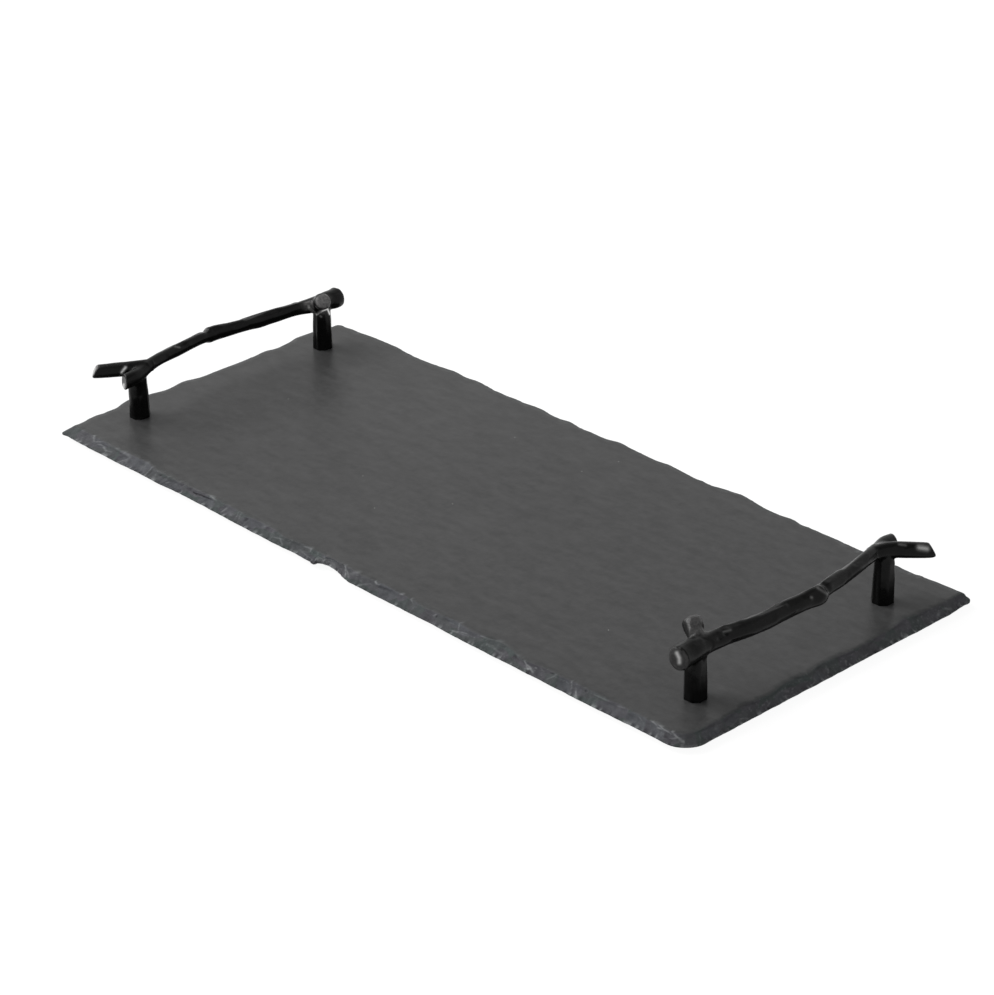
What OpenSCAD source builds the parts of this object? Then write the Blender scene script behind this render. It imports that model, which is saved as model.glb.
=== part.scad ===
// Slate serving board with two cast handles shaped like a cut twig.
// X runs along the board, Y across it and Z up. The feet stand at Z = 0, under the board's middle.

/* [Slate] */
// Length of the slate along X
slate_l = 460; // [420:5:520]
// Width of the slate along Y
slate_w = 200; // [190:5:240]
// Thickness of the slate
slate_t = 5; // [5:0.5:8]
// Mean width of the hand-dressed edge, seen from above
dress_w = 5; // [3:0.5:7]
// Height of the upright land that the dressing leaves under the chipped slope
land_h = 0.7; // [0.4:0.1:1.4]
// Radius that the corners are knocked down to
corner_r = 9; // [6:1:12]
// Mean length of one flake of the dressed edge
flake_l = 17; // [12:1:30]

/* [Handles] */
// Distance between the two posts of a handle, centre to centre
post_spacing = 128; // [110:1:134]
// From the slate's right end to the posts under the right handle
right_inset = 25.8; // [22:0.1:34]
// From the slate's left end to the posts under the left handle
left_inset = 22.7; // [22:0.1:34]
// How far each pair of posts sits off the middle of the board's width
post_offset = 2; // [0:0.5:4]
// Width of a post at its foot, across the flats
post_w = 10.6; // [9.5:0.1:13]
// Height of the twig's middle over the slate, at its thick end
rail_h = 26; // [24:0.5:34]
// Mean thickness of the twig
twig_d = 9; // [8:0.25:11]
// How far the twig bows outward between its ends
rail_sway = 8; // [2:0.5:12]
// How much the twig climbs from its thick end to its thin end
rail_rise = 2.4; // [0:0.2:5]

/* [Fixings] */
// Thread diameter of the screws that hold the handles down
thread_d = 4; // [3:0.5:5]
// Gap all round between a screw and the thread it turns in
thread_gap = 0.05; // [0.05:0.01:0.1]
// Gap all round between a screw and the hole in the slate
slate_gap = 0.3; // [0.2:0.05:0.5]
// Length of a screw under its head
screw_l = 12; // [11:0.5:16]
// Diameter of a screw's pan head
head_d = 8; // [7:0.25:9]
// Height of a screw's pan head
head_h = 2.2; // [1.8:0.1:2.4]
// Outer diameter of a washer
washer_d = 9; // [8.5:0.25:10]
// Thickness of a washer
washer_t = 0.8; // [0.5:0.1:1.2]
// Gap all round between a washer and its seat in the slate
seat_gap = 0.5; // [0.3:0.1:1]
// Depth of the seat that is sunk into the slate's underside
seat_depth = 1.6; // [1:0.1:2.5]
// How much deeper a post is threaded than its screw reaches
thread_spare = 1.7; // [1:0.1:3]

/* [Feet] */
// Diameter of a foot pad
foot_d = 14; // [10:0.5:18]
// Height of a foot pad
foot_h = 3; // [2.5:0.25:5]
// Rounding of a foot pad's lower rim
foot_round = 0.8; // [0.4:0.1:1.2]
// From the slate's long edges to a foot's middle
foot_inset = 18; // [14:1:30]
// Clear slate between a screw's seat and the foot pad inboard of it
foot_gap = 6; // [3:1:12]

/* [Hidden] */

round_fn = 48;
arc_steps = 3;
cut_over = 1;
slate_top = foot_h + slate_t;
seat_z = foot_h + seat_depth;
head_z = seat_z - washer_t;
half = 0.5;

// How far a screw reaches into a post, and the depth of the threaded hole that takes it
screw_reach = head_z + screw_l - slate_top;
thread_depth = screw_reach + thread_spare;

// Where each post stands, and with it a hole, a washer and a screw
left_x = left_inset - slate_l * half;
right_x = slate_l * half - right_inset;
post_at = [
  [left_x, post_offset - post_spacing * half],
  [left_x, post_offset + post_spacing * half],
  [right_x, -post_offset - post_spacing * half],
  [right_x, -post_offset + post_spacing * half]
];

// Where each foot pad sticks, in the same order
seat_r = washer_d * half + seat_gap;
foot_step = seat_r + foot_gap + foot_d * half;
foot_y = slate_w * half - foot_inset;
foot_at = [
  [left_x + foot_step, -foot_y],
  [left_x + foot_step, foot_y],
  [right_x - foot_step, -foot_y],
  [right_x - foot_step, foot_y]
];

// Outline of the slate. The sides run near, right, far, left, and each row of a table is
// a place along the side and the inset there, a share of the dressed edge's mean width.
long_steps = 160;
short_steps = 52;
corner_steps = 6;
side_start = [[-1, -1], [1, -1], [1, 1], [-1, 1]];
side_way = [[1, 0], [0, 1], [-1, 0], [0, -1]];
side_out = [[0, -1], [1, 0], [0, 1], [-1, 0]];
side_span = [slate_l, slate_w, slate_l, slate_w];
side_steps = [long_steps, short_steps, long_steps, short_steps];
corner_shares = [1.6, 0.6, 1.1, 0.45];
least_corner_share = 0.1;
top_shares = [
  [
    [0.00, 1.10], [0.04, 1.00], [0.08, 0.88], [0.14, 1.06], [0.18, 0.62], [0.24, 0.74],
    [0.26, 0.95], [0.33, 0.82], [0.37, 0.82], [0.40, 0.46], [0.43, 0.84], [0.46, 0.80],
    [0.49, 0.86], [0.52, 0.62], [0.55, 0.88], [0.60, 0.84], [0.62, 0.62], [0.67, 0.94],
    [0.69, 0.64], [0.73, 1.22], [0.775, 0.46], [0.81, 0.80], [0.87, 0.90], [0.93, 0.96],
    [1.00, 0.80]
  ],
  [
    [0.00, 0.90], [0.11, 0.94], [0.27, 0.94], [0.30, 0.80], [0.37, 1.20], [0.43, 0.94],
    [0.485, 1.26], [0.57, 0.86], [0.71, 0.92], [0.785, 1.44], [0.84, 0.98], [0.92, 0.86],
    [1.00, 0.90]
  ],
  [
    [0.00, 1.00], [0.04, 1.02], [0.085, 1.40], [0.155, 1.32], [0.205, 1.24], [0.23, 1.32],
    [0.245, 1.12], [0.27, 1.34], [0.32, 0.66], [0.37, 1.34], [0.425, 0.90], [0.445, 1.08],
    [0.475, 1.00], [0.505, 0.72], [0.53, 1.16], [0.565, 1.12], [0.585, 0.90], [0.60, 1.16],
    [0.635, 0.80], [0.675, 1.08], [0.71, 1.12], [0.74, 0.78], [0.76, 0.98], [0.78, 0.80],
    [0.815, 1.20], [0.855, 1.34], [0.885, 0.98], [0.92, 1.00], [0.96, 1.30], [1.00, 1.66]
  ],
  [
    [0.00, 1.66], [0.05, 1.00], [0.12, 0.56], [0.18, 0.50], [0.24, 1.04], [0.27, 1.22],
    [0.31, 0.86], [0.36, 1.10], [0.45, 1.22], [0.54, 1.32], [0.60, 0.82], [0.66, 1.24],
    [0.73, 0.80], [0.78, 0.48], [0.84, 1.20], [0.87, 1.28], [0.90, 1.18], [0.96, 1.58],
    [1.00, 1.60]
  ]
];
base_shares = [
  [
    [0.00, 0.10], [0.05, 0.00], [0.12, 0.00], [0.16, 0.06], [0.19, 0.02], [0.235, 0.18],
    [0.28, 0.14], [0.33, 0.03], [0.38, 0.02], [0.42, 0.12], [0.445, 0.00], [0.454, 0.04],
    [0.463, 0.80], [0.485, 0.52], [0.50, 0.20], [0.512, 0.00], [0.57, 0.00], [0.63, 0.06],
    [0.70, 0.00], [0.78, 0.05], [0.86, 0.08], [0.92, 0.18], [1.00, 0.26]
  ],
  [[0.00, 0.04], [0.70, 0.04], [0.80, 0.00], [0.90, 0.00], [0.95, 0.14], [1.00, 0.34]],
  [[0.00, 0.06], [0.22, 0.00], [0.40, 0.10], [0.66, 0.00], [0.84, 0.08], [1.00, 0.02]],
  [[0.00, 0.08], [0.30, 0.00], [0.52, 0.12], [0.78, 0.00], [0.90, 0.28], [0.965, 0.30], [1.00, 0.75]]
];
// The chipped slope from the top edge down to the land: height and inset at each ring
slope_shares = [[1.00, 1.00], [0.84, 0.74], [0.50, 0.40], [0.20, 0.13], [0.00, 0.00]];
// How far the flakes push the middle rings in and out, and how their lengths mix
flake_share = 0.22;
second_flake_share = 0.45;

// The twig, laid out from its thick end to its thin end. Each row is the place along the
// handle (a share of the post spacing), the bow outward (of rail_sway), the climb (of
// rail_rise) and the two half thicknesses (of half of twig_d), across and along the roll.
rail_shares = [
  [-0.600, 0.33, 0.20, 1.31, 1.33],
  [-0.550, 0.20, 0.12, 1.22, 1.18],
  [-0.470, 0.18, 0.12, 1.07, 0.98],
  [-0.375, 0.39, 0.25, 0.98, 0.76],
  [-0.280, 0.59, 0.20, 1.00, 0.84],
  [-0.190, 0.74, 0.20, 0.93, 0.84],
  [-0.095, 0.78, 0.38, 0.97, 0.78],
  [-0.015, 0.89, 0.50, 0.93, 0.84],
  [0.045, 0.96, 0.60, 0.97, 0.89],
  [0.074, 0.93, 0.62, 0.96, 0.88],
  [0.098, 0.85, 0.74, 0.81, 0.72],
  [0.130, 0.79, 0.86, 0.82, 0.72],
  [0.190, 0.64, 0.80, 0.86, 0.70],
  [0.280, 0.42, 0.68, 0.76, 0.73],
  [0.375, 0.13, 0.78, 0.75, 0.72],
  [0.470, -0.26, 0.56, 0.78, 0.75]
];
// The main stem goes on past the thin end's post and droops to a sawn end
stem_shares = [
  [0.400, 0.03, 0.66, 0.68, 0.68],
  [0.460, -0.24, 0.46, 0.74, 0.73],
  [0.510, -0.47, 0.06, 0.86, 0.84],
  [0.550, -0.62, -0.16, 0.97, 0.95],
  [0.595, -0.63, -0.42, 0.97, 0.97]
];
// The long branch leaves the fork and points outward
branch_shares = [
  [0.430, -0.20, 0.58, 0.76, 0.74],
  [0.500, 0.16, 0.66, 0.86, 0.86],
  [0.560, 0.90, 0.42, 0.88, 0.87],
  [0.622, 1.76, 0.10, 0.83, 0.82]
];
// The short snag over the thick end's post points inward and up
snag_shares = [
  [-0.500, 0.38, 0.00, 0.84, 0.84],
  [-0.472, -0.44, 1.35, 0.87, 0.87],
  [-0.444, -1.28, 2.80, 0.93, 0.90]
];
rail_sides = 20;
side_branch_sides = 16;
rail_steps = 4;
branch_steps = 3;
twig_roll = 45;
// Knots of the twig: place along the handle (of the post spacing), angle round the twig,
// height (of half of twig_d) and length (of twig_d)
knot_shares = [
  [0.060, 318, 0.15, 0.60],
  [0.035, 80, 0.13, 0.55],
  [-0.375, 100, 0.12, 0.35],
  [-0.190, 260, 0.10, 0.50],
  [0.300, 40, 0.12, 0.40]
];
// A sawn end: steps forward and the radius left at each, as shares of the end's radius
sawn_shares = [[0.05, 0.95], [0.11, 0.85], [0.08, 0.72]];
// How far a slanted cut leans, as a share of its half thickness: along the way out and up
flat_cut_share = [0, 0];
stem_cut_share = [-0.30, -0.22];
branch_cut_share = [0.10, -0.60];
snag_cut_share = [0.20, -0.25];

// A post, hewn with eight flats: height (of rail_h) and width (of post_w) at each ring
post_shares = [
  [0.00, 1.00],
  [0.12, 0.98],
  [0.50, 0.95],
  [0.82, 0.90],
  [0.92, 0.79],
  [1.02, 0.50]
];
post_sides = 8;
post_turn = 22.5;

// Cross recess of a screw, as shares of its head
recess_l_share = 0.55;
recess_t_share = 0.13;
recess_depth_share = 0.70;
crown_share = 0.45;
tip_share = 0.35;

function unit(v) = v / norm(v);

// A smooth curve through the rows of a table, at share t between rows b and c
function between(a, b, c, d, t) =
  (2 * b + (c - a) * t + (2 * a - 5 * b + 4 * c - d) * t * t + (3 * b - a - 3 * c + d) * t * t * t) * half;

function row(rows, i) = rows[max(0, min(len(rows) - 1, i))];

function curve(rows, steps) = [
  for (i = [0 : len(rows) - 2])
    for (k = [0 : steps - 1])
      between(row(rows, i - 1), rows[i], rows[i + 1], row(rows, i + 2), k / steps),
  rows[len(rows) - 1]
];

// The row of a table that place t falls in, and the table's value there, eased between rows
function row_at(table, t, i = 0) =
  i + 2 >= len(table) || t < table[i + 1][0] ? i : row_at(table, t, i + 1);

function eased(table, t) =
  let (i = row_at(table, t))
  let (a = table[i], b = table[i + 1])
  let (s = max(0, min(1, (t - a[0]) / (b[0] - a[0]))))
  a[1] + (b[1] - a[1]) * s * s * (3 - 2 * s);

// Skins rings of points that have the same count, and closes both ends
module skin(rings) {
  sides = len(rings[0]);
  last = len(rings) - 1;
  points = [
    for (ring = rings) each ring,
    middle(rings[0]),
    middle(rings[last])
  ];
  first_cap = sides * len(rings);
  faces = [
    for (i = [0 : last - 1])
      for (k = [0 : sides - 1])
        each [
          [i * sides + k, i * sides + (k + 1) % sides, (i + 1) * sides + (k + 1) % sides],
          [i * sides + k, (i + 1) * sides + (k + 1) % sides, (i + 1) * sides + k]
        ],
    for (k = [0 : sides - 1]) [first_cap, (k + 1) % sides, k],
    for (k = [0 : sides - 1]) [first_cap + 1, last * sides + k, last * sides + (k + 1) % sides]
  ];
  polyhedron(points = points, faces = faces, convexity = 6);
}

function middle(ring) = [for (sum = ring) 1] * ring / len(ring);

// Distance along a side at one of its steps, between the corners' own lengths
function along_side(k, i) =
  let (from = corner_shares[(k + 3) % 4] * corner_r, to = corner_shares[k] * corner_r)
  from + (side_span[k] - from - to) * i / side_steps[k];

function flakes(along) =
  sin(360 * along / flake_l) + second_flake_share * sin(360 * along / (flake_l * second_flake_share));

// How far in a ring lies at a step of a side: part is the share of the way from the land to
// the top edge
function inset(k, i, part) =
  let (along = along_side(k, i), place = along / side_span[k])
  let (land = dress_w * eased(base_shares[k], place), top = dress_w * eased(top_shares[k], place))
  land + max(0, top - land) * (part + part * (1 - part) * flake_share * flakes(along));

// Radius that a ring keeps at the corner after a side, where two slopes meet
function ring_r(k, part) =
  let (next = (k + 1) % 4)
  let (deeper = max(inset(k, side_steps[k], part), inset(next, 0, part)))
  max(least_corner_share, corner_shares[k] - deeper / corner_r) * corner_r;

function slate_side(k, part) =
  let (last = (k + 3) % 4, next = (k + 1) % 4)
  let (start = [side_start[k][0] * slate_l * half, side_start[k][1] * slate_w * half])
  let (from = inset(last, side_steps[last], part) + ring_r(last, part))
  let (to = inset(next, 0, part) + ring_r(k, part))
  [
    for (i = [0 : side_steps[k]])
      let (along = from + (side_span[k] - from - to) * i / side_steps[k])
      start + side_way[k] * along - side_out[k] * inset(k, i, part)
  ];

function slate_corner(k, part) =
  let (next = (k + 1) % 4, radius = ring_r(k, part))
  let (corner = [side_start[next][0] * slate_l * half, side_start[next][1] * slate_w * half])
  let (out = inset(k, side_steps[k], part) + radius, next_out = inset(next, 0, part) + radius)
  let (centre = corner - side_out[k] * out - side_out[next] * next_out)
  [
    for (i = [1 : corner_steps - 1])
      let (turn = 90 * i / corner_steps)
      centre + (side_out[k] * cos(turn) + side_out[next] * sin(turn)) * radius
  ];

// One ring round the slate, at a height and at a share of the way in from the land to the top
function slate_ring(height, part) = [
  for (k = [0 : 3])
    for (p = concat(slate_side(k, part), slate_corner(k, part)))
      [p[0], p[1], height]
];

slope_h = slate_t - land_h;

module slate_blank() {
  skin([
    for (ring = slope_shares)
      slate_ring(foot_h + land_h + slope_h * ring[0], ring[1]),
    slate_ring(foot_h, 0)
  ]);
}

module slate_board() {
  color("#545556")
    difference() {
      slate_blank();
      for (at = post_at) {
        translate([at[0], at[1], foot_h - cut_over])
          cylinder(d = thread_d + 2 * slate_gap, h = slate_t + 2 * cut_over, $fn = round_fn);
        translate([at[0], at[1], foot_h - cut_over])
          cylinder(r = seat_r, h = seat_depth + cut_over, $fn = round_fn);
      }
    }
}

// One ring round a twig that runs through point at, heading along way
function twig_ring(at, way, across, along, sides, lean) =
  let (out = unit(cross(way, [0, 0, 1])), up = cross(out, way))
  [
    for (k = [0 : sides - 1])
      let (turn = 360 * k / sides)
      let (bump = 1 + knot(at, turn + twig_roll))
      let (flat_x = along * cos(turn) * bump, flat_y = across * sin(turn) * bump)
      let (x = flat_x * cos(twig_roll) - flat_y * sin(twig_roll))
      let (y = flat_x * sin(twig_roll) + flat_y * cos(twig_roll))
      at + out * x + up * y + way * (x * lean[0] + y * lean[1])
  ];

function knot(at, turn) =
  let (swell = [
    for (k = knot_shares)
      let (gap = (at[1] - k[0] * post_spacing) / (k[3] * twig_d))
      k[2] * exp(-gap * gap) * pow(max(0, cos(turn - k[1])), 2)
  ])
  [for (s = swell) 1] * swell;

function twig_point(share) = [
  share[1] * rail_sway,
  share[0] * post_spacing,
  rail_h + share[2] * rail_rise
];

// A length of twig through the rows of a table, sawn off at its end and at its start too
module twig(shares, sides, steps, cut_share, sawn_start = false) {
  rows = curve(shares, steps);
  last = len(rows) - 1;
  points = [for (share = rows) twig_point(share)];
  ways = [for (i = [0 : last]) unit(points[min(last, i + 1)] - points[max(0, i - 1)])];
  halves = [for (share = rows) [share[3], share[4]] * twig_d * half];
  first_r = (halves[0][0] + halves[0][1]) * half;
  last_r = (halves[last][0] + halves[last][1]) * half;
  skin([
    if (sawn_start)
      for (i = [len(sawn_shares) - 1 : -1 : 0])
        twig_ring(
          points[0] - ways[0] * sawn_shares[i][0] * first_r,
          ways[0],
          halves[0][0] * sawn_shares[i][1],
          halves[0][1] * sawn_shares[i][1],
          sides,
          flat_cut_share
        ),
    for (i = [0 : last])
      twig_ring(points[i], ways[i], halves[i][0], halves[i][1], sides, i == last ? cut_share : flat_cut_share),
    for (sawn = sawn_shares)
      twig_ring(
        points[last] + ways[last] * sawn[0] * last_r,
        ways[last],
        halves[last][0] * sawn[1],
        halves[last][1] * sawn[1],
        sides,
        cut_share
      )
  ]);
}

module post() {
  skin([
    for (i = [len(post_shares) - 1 : -1 : 0])
      let (wide = post_shares[i][1] * post_w * half / cos(post_turn))
      [
        for (k = [0 : post_sides - 1])
          let (turn = post_turn + 360 * k / post_sides)
          [wide * cos(turn), wide * sin(turn), rail_h * post_shares[i][0]]
      ]
  ]);
}

// One casting, with Y along the twig from its thick end, X outward and Z up from the slate
module twig_handle() {
  color("#1b1b1c")
    difference() {
      union() {
        twig(rail_shares, rail_sides, rail_steps, flat_cut_share, true);
        twig(stem_shares, side_branch_sides, branch_steps, stem_cut_share);
        twig(branch_shares, side_branch_sides, branch_steps, branch_cut_share);
        twig(snag_shares, side_branch_sides, branch_steps, snag_cut_share);
        for (way = [-1, 1])
          translate([0, way * post_spacing * half, 0])
            post();
      }
      for (way = [-1, 1])
        translate([0, way * post_spacing * half, -cut_over])
          cylinder(d = thread_d + 2 * thread_gap, h = thread_depth + cut_over, $fn = round_fn);
    }
}

module handle_left() {
  translate([left_x, post_offset, slate_top])
    rotate([0, 0, 180])
      twig_handle();
}

module handle_right() {
  translate([right_x, -post_offset, slate_top])
    twig_handle();
}

// A pan-head screw that stands on its head's underside, with its shank up
module screw() {
  crown = head_h * crown_share;
  tip = thread_d * half * tip_share;
  color("#a9abad")
    difference() {
      rotate_extrude($fn = round_fn)
        polygon([
          [0, -head_h],
          for (i = [0 : arc_steps])
            let (turn = 90 * i / arc_steps)
            [head_d * half - crown + crown * sin(turn), -head_h + crown - crown * cos(turn)],
          [head_d * half, 0],
          [thread_d * half, 0],
          [thread_d * half, screw_l - tip],
          [thread_d * half - tip, screw_l],
          [0, screw_l]
        ]);
      for (turn = [0, 90])
        rotate([0, 0, turn])
          translate([-head_d * recess_l_share * half, -head_d * recess_t_share * half, -head_h - cut_over])
            cube([head_d * recess_l_share, head_d * recess_t_share, head_h * recess_depth_share + cut_over]);
    }
}

module screw_at(k) {
  translate([post_at[k][0], post_at[k][1], head_z])
    screw();
}

module washer_at(k) {
  color("#2b2b2d")
    translate([post_at[k][0], post_at[k][1], head_z])
      difference() {
        cylinder(d = washer_d, h = washer_t, $fn = round_fn);
        translate([0, 0, -cut_over])
          cylinder(d = thread_d + 2 * slate_gap, h = washer_t + 2 * cut_over, $fn = round_fn);
      }
}

module foot_at(k) {
  color("#222324")
    translate([foot_at[k][0], foot_at[k][1], 0])
      rotate_extrude($fn = round_fn)
        polygon([
          [0, 0],
          for (i = [0 : arc_steps])
            let (turn = 90 * i / arc_steps)
            [foot_d * half - foot_round + foot_round * sin(turn), foot_round - foot_round * cos(turn)],
          [foot_d * half, foot_h],
          [0, foot_h]
        ]);
}

slate_board();
handle_left();
handle_right();
screw_at(0);  // screw_left_near
screw_at(1);  // screw_left_far
screw_at(2);  // screw_right_near
screw_at(3);  // screw_right_far
washer_at(0);  // washer_left_near
washer_at(1);  // washer_left_far
washer_at(2);  // washer_right_near
washer_at(3);  // washer_right_far
foot_at(0);  // foot_left_near
foot_at(1);  // foot_left_far
foot_at(2);  // foot_right_near
foot_at(3);  // foot_right_far
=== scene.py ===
"""A slate serving board with two cast handles shaped like a cut twig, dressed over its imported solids."""
import math

import bpy
import numpy as np
from mathutils import Matrix, Vector, geometry


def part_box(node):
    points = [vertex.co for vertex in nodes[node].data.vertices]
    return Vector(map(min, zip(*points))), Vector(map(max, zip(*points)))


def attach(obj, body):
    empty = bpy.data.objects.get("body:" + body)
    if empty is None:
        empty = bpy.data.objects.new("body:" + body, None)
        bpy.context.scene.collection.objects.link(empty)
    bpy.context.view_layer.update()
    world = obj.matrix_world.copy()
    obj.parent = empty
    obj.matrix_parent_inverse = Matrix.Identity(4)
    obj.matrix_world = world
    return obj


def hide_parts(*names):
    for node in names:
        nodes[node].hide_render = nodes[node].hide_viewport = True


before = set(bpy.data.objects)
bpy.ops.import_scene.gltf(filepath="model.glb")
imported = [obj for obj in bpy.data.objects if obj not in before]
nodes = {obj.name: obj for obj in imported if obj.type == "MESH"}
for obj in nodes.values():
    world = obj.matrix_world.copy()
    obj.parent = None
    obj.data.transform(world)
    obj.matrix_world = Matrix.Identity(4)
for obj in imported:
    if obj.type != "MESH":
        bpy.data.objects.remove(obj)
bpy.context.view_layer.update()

MM = 0.001


# Noise on arrays of points, with no state, so that each run gives the same board

def lattice(ix, iy, iz, seed):
    """A fixed value from 0 to 1 for each whole-number place."""
    h = (ix * 374761393 + iy * 668265263 + iz * 2147483647 + seed * 974711) & 0xFFFFFFFF
    h = ((h ^ (h >> 13)) * 1274126177) & 0xFFFFFFFF
    h = ((h ^ (h >> 15)) * 2246822519) & 0xFFFFFFFF
    return ((h ^ (h >> 16)) & 0xFFFF) / 65535.0


def smooth(t):
    t = np.clip(t, 0.0, 1.0)
    return t * t * (3.0 - 2.0 * t)


def noise(x, y, z=0.0, seed=0):
    """Smooth value noise from -1 to 1."""
    x, y, z = np.broadcast_arrays(x, y, z)
    ix, iy, iz = (np.floor(a).astype(np.int64) for a in (x, y, z))
    fx, fy, fz = smooth(x - ix), smooth(y - iy), smooth(z - iz)
    total = 0.0
    for dx, dy, dz in np.ndindex(2, 2, 2):
        weight = (fx if dx else 1 - fx) * (fy if dy else 1 - fy) * (fz if dz else 1 - fz)
        total = total + weight * lattice(ix + dx, iy + dy, iz + dz, seed)
    return total * 2.0 - 1.0


def fractal(x, y, z=0.0, seed=0, octaves=3):
    """Smooth noise with finer noise on it, each octave of half the size and half the height."""
    total, size = 0.0, 1.0
    for k in range(octaves):
        total = total + size * noise(x / size, y / size, z / size, seed + 17 * k)
        size *= 0.5
    return total / (2.0 - 2.0 * size)


def cells(x, y, seed):
    """Distance to the nearest cell centre, and that cell's own value."""
    ix, iy = np.floor(x).astype(np.int64), np.floor(y).astype(np.int64)
    first = np.full(np.shape(x), np.inf)
    value = np.zeros(np.shape(x))
    for cx, cy in ((ix + dx, iy + dy) for dx in (-1, 0, 1) for dy in (-1, 0, 1)):
        px = cx + 0.15 + 0.7 * lattice(cx, cy, 1, seed)
        py = cy + 0.15 + 0.7 * lattice(cx, cy, 2, seed)
        gap = np.hypot(px - x, py - y)
        nearer = gap < first
        value = np.where(nearer, lattice(cx, cy, 3, seed), value)
        first = np.where(nearer, gap, first)
    return first, value


# Meshes from arrays

def make_object(name, points, faces, marks=None):
    """A mesh object from points in metres and lists of corner numbers, with point attributes."""
    mesh = bpy.data.meshes.new(name)
    mesh.from_pydata([tuple(p) for p in np.asarray(points, float)], [], faces)
    for label, values in (marks or {}).items():
        layer = mesh.attributes.new(label, "FLOAT", "POINT")
        layer.data.foreach_set("value", np.asarray(values, np.float32))
    mesh.update()
    obj = bpy.data.objects.new(name, mesh)
    bpy.context.scene.collection.objects.link(obj)
    return obj


def shade(obj, angle=180.0):
    """Smooth shading, with edges sharper than the angle left hard."""
    obj.data.shade_smooth()
    if angle < 180.0:
        obj.data.set_sharp_from_angle(angle=math.radians(angle))


def read(items, key, kind, width=1):
    """One property of all points, corners or faces of a mesh."""
    values = np.zeros(len(items) * width, kind)
    items.foreach_get(key, values)
    return values


def points_of(mesh):
    """A mesh's points in millimetres."""
    return read(mesh.vertices, "co", np.float32, 3).reshape(-1, 3).astype(float) / MM


def own_points(node):
    """A node's own points with doubles dropped."""
    return np.unique(np.round(points_of(nodes[node].data), 4), axis=0)


def middle_of(node):
    """The middle of a node's box, in millimetres."""
    low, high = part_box(node)
    return (low + high) / 2 / MM


# Materials

def new_material(name, colour, roughness, specular=0.5, metallic=0.0):
    material = bpy.data.materials.new(name)
    material.use_nodes = True
    shader = material.node_tree.nodes["Principled BSDF"]
    shader.inputs["Base Color"].default_value = (*colour, 1.0)
    shader.inputs["Roughness"].default_value = roughness
    shader.inputs["Specular IOR Level"].default_value = specular
    shader.inputs["Metallic"].default_value = metallic
    return material, material.node_tree, shader


def add(tree, kind, **settings):
    """A node with its inputs and its own settings set by name."""
    node = tree.nodes.new(kind)
    for key, value in settings.items():
        if key in node.inputs:
            node.inputs[key].default_value = value
        else:
            setattr(node, key, value)
    return node


def fed(tree, kind, *sources, **settings):
    """A node with its first inputs linked to the sources, by its first output."""
    node = add(tree, kind, **settings)
    for source, socket in zip(sources, node.inputs):
        tree.links.new(source, socket)
    return node.outputs[0]


def noise_node(tree, scale, detail=4.0, roughness=0.5, stretch=(1, 1, 1)):
    """A noise texture on the object's own coordinates, in features per metre."""
    where = add(tree, "ShaderNodeTexCoord")
    mapping = add(tree, "ShaderNodeMapping")
    mapping.inputs["Scale"].default_value = stretch
    texture = add(tree, "ShaderNodeTexNoise", Scale=scale, Detail=detail, Roughness=roughness)
    tree.links.new(where.outputs["Object"], mapping.inputs["Vector"])
    tree.links.new(mapping.outputs["Vector"], texture.inputs["Vector"])
    return texture.outputs["Fac"]


def ramp(tree, source, stops):
    """A colour ramp: stops are (place, colour or grey)."""
    node = add(tree, "ShaderNodeValToRGB")
    elements = node.color_ramp.elements
    while len(elements) < len(stops):
        elements.new(0.5)
    for element, (place, tone) in zip(elements, stops):
        element.position = place
        element.color = (*tone, 1.0) if isinstance(tone, tuple) else (tone, tone, tone, 1.0)
    tree.links.new(source, node.inputs["Fac"])
    return node.outputs["Color"]


def mix(tree, factor, first, second, mode="MIX"):
    node = add(tree, "ShaderNodeMix", data_type="RGBA", blend_type=mode)
    for socket, value in ((node.inputs[0], factor), (node.inputs[6], first), (node.inputs[7], second)):
        if isinstance(value, bpy.types.NodeSocket):
            tree.links.new(value, socket)
        elif isinstance(value, tuple):
            socket.default_value = (*value, 1.0)
        else:
            socket.default_value = value
    return node.outputs[2]


def mark(tree, label):
    """A point attribute of the mesh, as a grey."""
    return add(tree, "ShaderNodeAttribute", attribute_name=label).outputs["Fac"]


def bump(tree, shader, height, distance, strength=1.0):
    node = add(tree, "ShaderNodeBump", Strength=strength, Distance=distance)
    tree.links.new(height, node.inputs["Height"])
    tree.links.new(node.outputs["Normal"], shader.inputs["Normal"])


# Colours are linear. A pair is the dark and the light end of a ramp.
SLATE_TOP = (0.030, 0.030, 0.0305), (0.062, 0.062, 0.0625)
SLATE_STREAKS = 0.030, 0.062
SLATE_CLOUDS = 0.038, 0.054
SLATE_CHIP = (0.050, 0.0512, 0.0528), (0.077, 0.0783, 0.0803)
CHIP_HUES = [
    (0.0, (0.87, 0.99, 0.96)), (0.35, (0.96, 1.0, 1.0)),
    (0.65, (1.0, 0.95, 1.03)), (1.0, (0.95, 0.98, 1.05)),
]
# The pale mark is partly paler stone and partly painted light; the dark mark is painted shade in dents
PALE_AND_HIGHLIGHT, DARK_AND_SHADE, SPECK = (0.30, 0.31, 0.315), (0.012, 0.012, 0.013), (0.55, 0.55, 0.53)
TOP_ROUGHNESS, CHIP_ROUGHNESS = (0.31, 0.41), (0.8, 0.8, 0.8)
COATING = (0.0018, 0.0018, 0.0018), (0.0042, 0.0042, 0.0040)
COATING_ROUGHNESS = 0.22, 0.36
# Pale of the sawn ends: partly their own paler cut, partly painted light on facets that face the lamps
SAWN_AND_LIT = (0.09, 0.09, 0.09), (0.20, 0.195, 0.195)
# Bare metal: a little wear on sharp edges, and mostly painted highlights
BARE_METAL_AND_HIGHLIGHT = (0.80, 0.80, 0.79)


def between(tree, source, low, high, pair):
    """A ramp from the dark to the light end of a pair, between two values of the source."""
    return ramp(tree, source, [(low, pair[0]), (high, pair[1])])


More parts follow.
